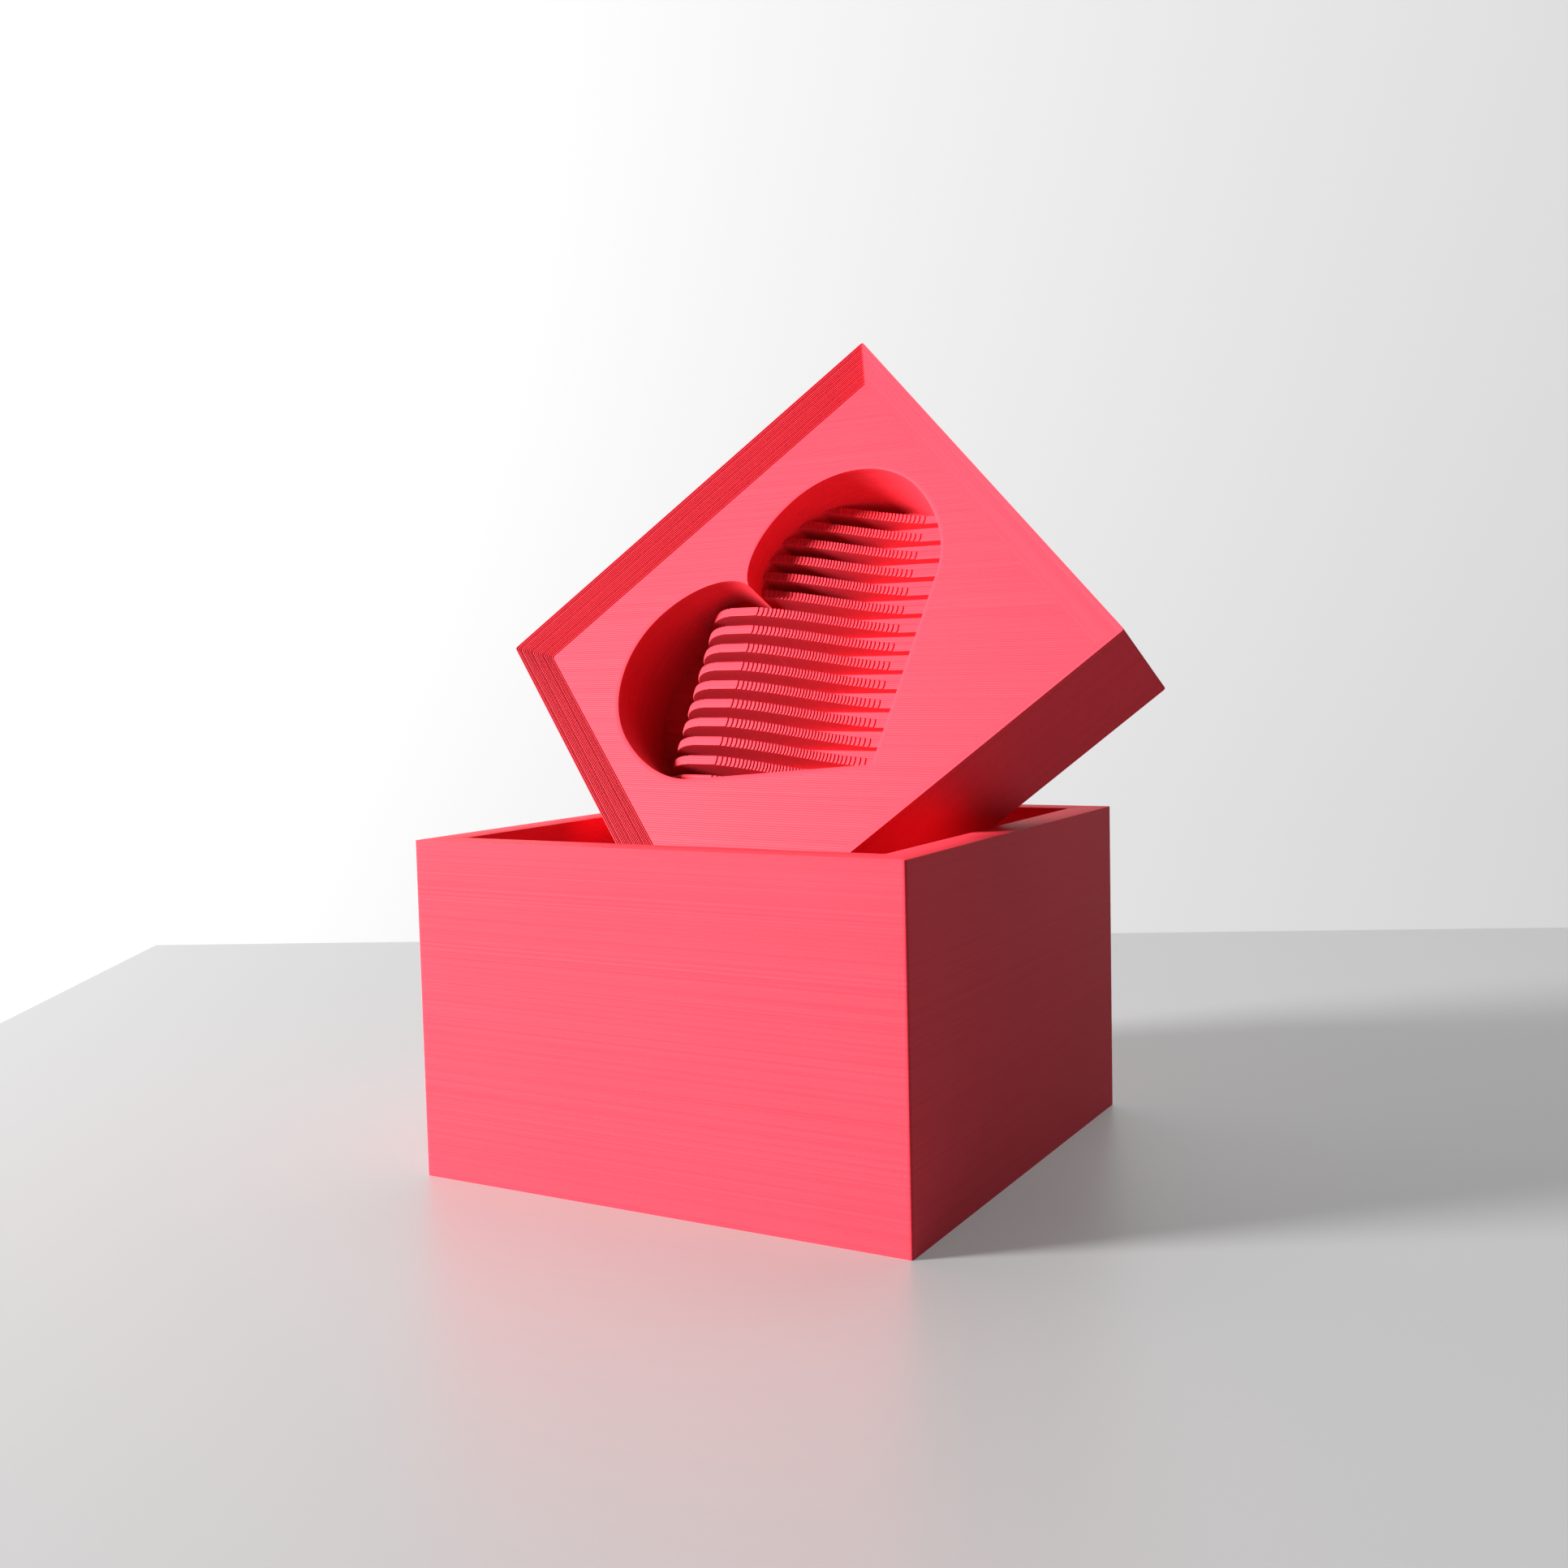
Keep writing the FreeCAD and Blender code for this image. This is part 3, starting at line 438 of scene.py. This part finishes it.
def rib_levels():
    """The rib's side view as a staircase: its places along s, its depths, and how far each end bends back.

    The left side follows a quarter ellipse from trough to crest. The right side mixes a straight
    line with a half cosine, so that its first and last treads are wide and the middle ones narrow.
    """
    steps = round((trough_depth - crest_depth) / layer)
    part = (np.arange(steps) + 0.5) / steps
    rise = crest_start - (crest_start - fall_start) * np.sqrt(1 - part**2)
    sample = np.linspace(0, 1, 400)
    drop = sample * (1 - slope_roundness) + (1 - np.cos(np.pi * sample)) / 2 * slope_roundness
    fall = crest_end + (slope_end - crest_end) * np.interp(part, drop, sample)
    s = np.concatenate([[fall_start], np.repeat(rise, 2), np.repeat(fall, 2), [rib_reach]])
    up = trough_depth - layer * np.repeat(np.arange(steps + 1), 2)[1:-1]
    down = crest_depth + layer * np.repeat(np.arange(steps + 1), 2)[1:-1]
    depth = np.concatenate([[trough_depth], up, down, [trough_depth]])
    bend = np.concatenate([[0], np.full(2 * steps, rise_bend), np.ones(2 * steps), [0]])
    return s, depth, bend


def make_rib(outline, middle, random):
    """One rib: its section across t, carried along the staircase and cut to the heart's wall.

    Each section is a ring: floor, a top that drops at its edges, floor. A layer's end is a round
    tongue, so its place along s falls back towards the rib's edges. It gives the skin, and the
    attributes across, lines and height of its points, poles last.
    """
    x = np.array([-1.0, -1.0, -0.97, -0.8, -0.5, 0.0, 0.5, 0.8, 0.97, 1.0, 1.0])
    on_top = np.array([0, 1, 1, 1, 1, 1, 1, 1, 1, 1, 0])
    across = x * rib_width / 2
    spans = [rib_span(outline, middle + a) for a in across]
    if any(span is None for span in spans):
        return None
    low, high = np.array(spans).T
    s, depth, bend = rib_levels()
    wander = np.repeat(random.normal(0, end_wander, len(s) // 2 + 1), 2)[: len(s)]
    s = s + np.where(bend != 0, wander, 0)
    setback = tongue * (np.sqrt(np.maximum(1 - (x * tongue_reach) ** 2, 0)) - 1)
    along = s[:, None] + bend[:, None] * setback[None]
    kept = (along > low.min()).any(axis=1) & (along < high.max()).any(axis=1)
    first = max(np.flatnonzero(kept)[0] - 1, 0)
    last = min(np.flatnonzero(kept)[-1] + 2, len(s))
    along = np.clip(along[first:last], low - wall_bite, high + wall_bite)
    top = -depth[first:last, None] - rib_edge_drop * np.abs(x[None]) ** edge_power
    height = np.where(on_top[None] == 1, top, -recess_depth)
    side = np.broadcast_to(middle + across, along.shape)
    local = np.stack([(along + side) / ROOT2, (side - along) / ROOT2, height], axis=-1)
    skin = outward(loft(lid_points(local)))
    sides = np.append(side.ravel(), [middle] * 2)
    mask = np.broadcast_to(on_top.astype(float), along.shape).ravel()
    heights = np.append(height, [-recess_depth] * 2)
    return skin, sides, np.append(mask, [0, 0]), heights


def make_printed_ribs():
    """All the ribs that are long enough to print, as one piece."""
    outline = heart_outline(2400)
    random = np.random.default_rng(rib_seed)
    count = int(rib_reach / rib_pitch)
    ribs = [make_rib(outline, k * rib_pitch, random) for k in range(-count, count + 1)]
    ribs = [rib for rib in ribs if rib is not None]
    skin = joined([rib[0] for rib in ribs])
    across, mask, height = (np.concatenate([rib[k] for rib in ribs]) for k in (1, 2, 3))
    return make_piece("printed_ribs", skin, {"across": across / MM, "lines": mask, "height": height / MM})


# ---------------------------------------------------------------- the key

def make_wing_key():
    """A wing key: a turned boss along Y that narrows at its end, and a flattened ring for each wing.

    The boss is a profile turned about the arbor's axis. A wing is a torus with a superellipse for
    its section, which is only as thick as a plate.
    """
    low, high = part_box("winding_key")
    axis_x = (low.x + high.x) / 2
    axis_z = (low.z + high.z) / 2
    boss = (high.z - low.z) / 2
    wing = (high.x - low.x) / 4
    hole = 2.3 * MM
    half_plate = 0.75 * MM
    boss_length = 6.0 * MM
    section_power = 0.7
    wing_y = high.y - wing
    turn = np.linspace(0, 2 * math.pi, 48, endpoint=False)
    # distance along the boss and its radius, as shares of boss_length and boss
    stations = np.array([
        (0.0, 0.82), (0.05, 0.95), (0.14, 1.0), (0.55, 1.0), (0.62, 0.9), (0.7, 0.9),
        (0.78, 0.98), (1.1, 0.94), (1.3, 0.72), (1.4, 0.4),
    ])
    rings = np.zeros((len(stations), len(turn), 3))
    rings[..., 0] = axis_x + stations[:, 1:] * boss * np.cos(turn)
    rings[..., 1] = low.y + stations[:, :1] * boss_length
    rings[..., 2] = axis_z + stations[:, 1:] * boss * np.sin(turn)
    skins = [outward(loft(rings))]
    tube = np.linspace(0, 2 * math.pi, 20, endpoint=False)
    ring_middle = (wing + hole) / 2
    ring_half = (wing - hole) / 2
    section_x = ring_half * np.sign(np.cos(tube)) * np.abs(np.cos(tube)) ** section_power
    section_z = half_plate * np.sign(np.sin(tube)) * np.abs(np.sin(tube)) ** section_power
    for side in (-1, 1):
        wing_x = axis_x + side * wing
        reach = ring_middle + section_x[None]
        torus = np.zeros((len(turn), len(tube), 3))
        torus[..., 0] = wing_x + reach * np.cos(turn)[:, None]
        torus[..., 1] = wing_y + reach * np.sin(turn)[:, None]
        torus[..., 2] = axis_z + section_z[None]
        skins.append(outward(tube_skin(torus)))
    skin = joined(skins)
    return make_piece("wing_key", skin, {}, sharp=50.0)


# ---------------------------------------------------------------- shader maths

class Value:
    """A socket in one material, with operators that add Math nodes."""

    def __init__(self, shader, socket):
        self.shader = shader
        self.socket = socket

    def _math(self, operation, *inputs):
        return self.shader.node("ShaderNodeMath", {"operation": operation}, dict(enumerate(inputs)))

    def __add__(self, other):
        return self._math("ADD", self, other)

    def __radd__(self, other):
        return self._math("ADD", other, self)

    def __sub__(self, other):
        return self._math("SUBTRACT", self, other)

    def __rsub__(self, other):
        return self._math("SUBTRACT", other, self)

    def __mul__(self, other):
        return self._math("MULTIPLY", self, other)

    def sine(self):
        return self._math("SINE", self)

    def clamped(self):
        return self.shader.node("ShaderNodeClamp", {}, {"Value": self})


class Shader:
    """A material and its nodes."""

    def __init__(self, name):
        self.material = bpy.data.materials.new(name)
        self.material.use_nodes = True
        self.tree = self.material.node_tree
        self.tree.nodes.clear()

    def node(self, kind, settings, values, output=0):
        """A node of a kind, with its settings made first, then its sockets' values or links."""
        made = self.tree.nodes.new(kind)
        for key, value in settings.items():
            setattr(made, key, value)
        for key, value in values.items():
            if isinstance(value, Value):
                self.tree.links.new(value.socket, made.inputs[key])
            else:
                made.inputs[key].default_value = value
        return Value(self, made.outputs[output])

    def place(self):
        return self.node("ShaderNodeTexCoord", {}, {}, "Object")

    def attribute(self, name):
        return self.node("ShaderNodeAttribute", {"attribute_name": name}, {}, "Fac")

    def vector(self, operation, a, b):
        return self.node("ShaderNodeVectorMath", {"operation": operation}, {0: a, 1: b})

    def noise(self, where, scale, detail=3.0, rough=0.55):
        values = {"Vector": where, "Scale": scale, "Detail": detail, "Roughness": rough}
        return self.node("ShaderNodeTexNoise", {}, values, 0)

    def blend(self, factor, a, b):
        values = {0: factor, 6: a, 7: b}
        return self.node("ShaderNodeMix", {"data_type": "RGBA"}, values, 2)

    def bump(self, height, distance, strength=1.0):
        values = {"Height": height, "Distance": distance, "Strength": strength}
        return self.node("ShaderNodeBump", {}, values)

    def finish(self, values):
        principled = self.node("ShaderNodeBsdfPrincipled", {}, values)
        output = self.tree.nodes.new("ShaderNodeOutputMaterial")
        self.tree.links.new(principled.socket, output.inputs["Surface"])
        return self.material


# ---------------------------------------------------------------- materials

deep_red = (0.66, 0.028, 0.048, 1)
bright_red = (0.84, 0.058, 0.086, 1)
along_scale = 0.006
layer_change = 2.4
line_change = 1.1


def mm_place(shader):
    """The Object coordinates in millimetres."""
    return shader.node("ShaderNodeVectorMath", {"operation": "SCALE"}, {0: shader.place(), "Scale": 1 / MM})


def printed_red():
    """Matte red filament: walls streaked from layer to layer, and flat tops that show the nozzle's lines.

    The attribute height counts layers, across counts the lines over a top face, and lines says
    where a top face is. Streaks run long along a layer and change quickly between layers.
    """
    shader = Shader("printed_red")
    place = mm_place(shader)
    height = shader.attribute("height")
    across = shader.attribute("across")
    tops = shader.attribute("lines")
    walls = 1 - tops
    long_way = shader.vector("MULTIPLY", place, (along_scale,) * 3)
    layer_way = shader.node("ShaderNodeCombineXYZ", {}, {2: height * layer_change})
    streaks = shader.noise(shader.vector("ADD", long_way, layer_way), 1.0, 4.0, 0.6)
    line_way = shader.node("ShaderNodeCombineXYZ", {}, {2: across * line_change})
    line_noise = shader.noise(shader.vector("ADD", long_way, line_way), 1.0, 3.0, 0.6)
    grain = shader.noise(place, 2.6, 3.0, 0.6)
    mottle = shader.noise(place, 0.05, 2.0, 0.5)
    ridges = (across * (2 * math.pi * MM / line_pitch)).sine()
    depth = ridges * 0.30 + line_noise
    relief = tops * depth + walls * (streaks * 0.9) + grain * 0.3
    # random tone from streaks, grain and mottle, plus painted shade in the grooves between the nozzle lines
    # on tops and a painted highlight on their crests (the ridges term)
    tone_and_groove_shade = walls * (streaks - 0.5) * 0.9 + tops * ((line_noise - 0.5) * 0.8 + ridges * 0.16)
    tone_and_groove_shade = tone_and_groove_shade + (grain - 0.5) * 0.30 + (mottle - 0.5) * 0.15 + 0.5
    colour = shader.blend(tone_and_groove_shade.clamped(), deep_red, bright_red)
    rough = 0.55 + (grain - 0.5) * 0.16 + (streaks - 0.5) * 0.1
    return shader.finish({
        "Base Color": colour,
        "Roughness": rough,
        "IOR": 1.46,
        "Specular IOR Level": 0.10,
        "Normal": shader.bump(relief, 0.05 * MM, 0.8),
    })


def metal(name, dark, light, rough, brushing, along=(1.0, 1.0, 1.0)):
    """A bare metal: two close tones mixed by soft stains, with brushing drawn out along the grain."""
    shader = Shader(name)
    place = mm_place(shader)
    stains = shader.noise(place, 0.35, 4.0, 0.6)
    brush = shader.noise(shader.vector("MULTIPLY", place, along), 4.0, 4.0, 0.7)
    fine = shader.noise(place, 7.0, 2.0, 0.5)
    colour = shader.blend((stains * 0.8 + brush * 0.3).clamped(), dark + (1,), light + (1,))
    return shader.finish({
        "Base Color": colour,
        "Metallic": 1.0,
        "Roughness": (rough + (stains - 0.5) * 0.18 + (brush - 0.5) * brushing).clamped(),
        "Normal": shader.bump(brush * brushing + fine * 0.15, 0.03 * MM, 0.6),
    })


plastic = printed_red()
metals = {
    "zinc": metal("cast_zinc", (0.42, 0.43, 0.45), (0.60, 0.61, 0.63), 0.48, 0.5),
    "spring_steel": metal("spring_steel", (0.30, 0.31, 0.34), (0.48, 0.49, 0.52), 0.34, 0.6, (0.2, 3.0, 3.0)),
    "steel": metal("turned_steel", (0.46, 0.46, 0.48), (0.66, 0.66, 0.68), 0.28, 0.5, (3.0, 0.2, 3.0)),
    "brass": metal("turned_brass", (0.58, 0.36, 0.10), (0.78, 0.55, 0.22), 0.27, 0.5, (3.0, 0.2, 3.0)),
    "nickel": metal("nickel_plate", (0.58, 0.56, 0.52), (0.74, 0.73, 0.70), 0.16, 0.3),
}


def dress(piece, material):
    piece.data.materials.clear()
    piece.data.materials.append(material)


for part in frame["record"]["subparts"]:
    slot_name = part["material_slot"]
    dress(frame["nodes"][part["node"]], metals.get(slot_name, plastic))

# ---------------------------------------------------------------- pieces

box = make_printed_box()
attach(box, "case")
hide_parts("box_body")

lid = make_printed_lid()
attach(lid, "lid")
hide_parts("lid")

ribs = make_printed_ribs()
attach(ribs, "lid")
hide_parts("lid_ribs")

key = make_wing_key()
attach(key, "winding")
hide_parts("winding_key")

for piece in (box, lid, ribs):
    dress(piece, plastic)
dress(key, metals["nickel"])

# ---------------------------------------------------------------- table, wall, light and camera

table_turn = math.radians(25.7)
table_side_turn = math.radians(-57.0)
table_length = 1.6
table_depth = 1.0
wall_gap = 0.35
wall_reach = 2.5
window_place = (-1.18, -0.99, 0.52)
window_target = (0, 0, 0.05)
window_size = 0.40
window_power = 92.0
ceiling_place = (-0.06, 0.45, 0.95)
ceiling_target = (0, 0, 0)
ceiling_size = 0.8
ceiling_power = 4.0
sky_strength = 0.03
camera_place = (0.12928, -0.22676, 0.07711)
camera_yaw = math.radians(-29.63)
camera_pitch = math.radians(3.90)
camera_roll = math.radians(-1.36)
lens_length = 36.44
sensor_width = 36.0
nearest_seen = 0.01


def stage_plane(name, corners, material):
    """A flat four-sided sheet of the studio."""
    mesh = bpy.data.meshes.new(name)
    mesh.from_pydata(corners, [], [(0, 1, 2, 3)])
    sheet = bpy.data.objects.new(name, mesh)
    bpy.context.scene.collection.objects.link(sheet)
    sheet.data.materials.append(material)


def stage_finish(name, colour, rough, relief, glow):
    """A painted surface with a very fine tooth, and a little light of its own to lift the shadows."""
    shader = Shader(name)
    grain = shader.noise(mm_place(shader), 0.9, 3.0, 0.6)
    tone = [c * 0.985 for c in colour]
    return shader.finish({
        "Base Color": shader.blend(grain, (*tone, 1), (*colour, 1)),
        "Roughness": rough,
        "Emission Color": (1, 1, 1, 1),
        "Emission Strength": glow,
        "Normal": shader.bump(grain, relief, 0.4),
    })


table_paint = stage_finish("table_paint", (0.25, 0.25, 0.25), 0.40, 0.02 * MM, 0.14)
wall_paint = stage_finish("wall_paint", (0.31, 0.31, 0.31), 0.9, 0.05 * MM, 0.38)
table_corner = Vector((-0.274, 0.094, 0))
table_along = Vector((math.cos(table_turn), math.sin(table_turn), 0))
table_side = Vector((math.cos(table_side_turn), math.sin(table_side_turn), 0))
table_end = table_corner + table_along * table_length
stage_plane("table", [
    table_corner,
    table_corner + table_side * table_depth,
    table_end + table_side * table_depth,
    table_end,
], table_paint)
wall_middle = table_corner + Vector((-table_along.y, table_along.x, 0)) * wall_gap
stage_plane("wall", [
    wall_middle - table_along * wall_reach + Vector((0, 0, -wall_reach)),
    wall_middle + table_along * wall_reach + Vector((0, 0, -wall_reach)),
    wall_middle + table_along * wall_reach + Vector((0, 0, wall_reach)),
    wall_middle - table_along * wall_reach + Vector((0, 0, wall_reach)),
], wall_paint)


def aim(thing, place, target):
    """Stand a light at a place, shining at a target."""
    direction = Vector(target) - Vector(place)
    turn = direction.to_track_quat("-Z", "Y").to_matrix().to_4x4()
    thing.matrix_world = Matrix.Translation(Vector(place)) @ turn


def area_light(name, place, target, size, power):
    """A round white lamp."""
    lamp = bpy.data.lights.new(name, "AREA")
    lamp.shape = "DISK"
    lamp.size = size
    lamp.energy = power
    thing = bpy.data.objects.new(name, lamp)
    bpy.context.scene.collection.objects.link(thing)
    aim(thing, place, target)


area_light("window", window_place, window_target, window_size, window_power)
area_light("ceiling", ceiling_place, ceiling_target, ceiling_size, ceiling_power)

world = bpy.data.worlds.new("studio")
world.use_nodes = True
sky = world.node_tree.nodes["Background"]
sky.inputs["Color"].default_value = (1, 1, 1, 1)
sky.inputs["Strength"].default_value = sky_strength
bpy.context.scene.world = world
bpy.context.scene.view_settings.view_transform = "Standard"
bpy.context.scene.view_settings.look = "None"


def make_camera():
    """A level-headed view from the front right: yaw left of +Y, a little down, and rolled slightly."""
    yaw, pitch, roll = camera_yaw, camera_pitch, camera_roll
    forward = Vector((math.sin(yaw) * math.cos(pitch), math.cos(yaw) * math.cos(pitch), -math.sin(pitch)))
    level = Vector((math.cos(yaw), -math.sin(yaw), 0))
    top = level.cross(forward)
    right = level * math.cos(roll) + top * math.sin(roll)
    up = top * math.cos(roll) - level * math.sin(roll)
    data = bpy.data.cameras.new("camera")
    data.lens = lens_length
    data.sensor_width = sensor_width
    data.clip_start = nearest_seen
    camera = bpy.data.objects.new("camera", data)
    bpy.context.scene.collection.objects.link(camera)
    turn = Matrix((right, up, -forward)).transposed().to_4x4()
    camera.matrix_world = Matrix.Translation(camera_place) @ turn
    bpy.context.scene.camera = camera


make_camera()
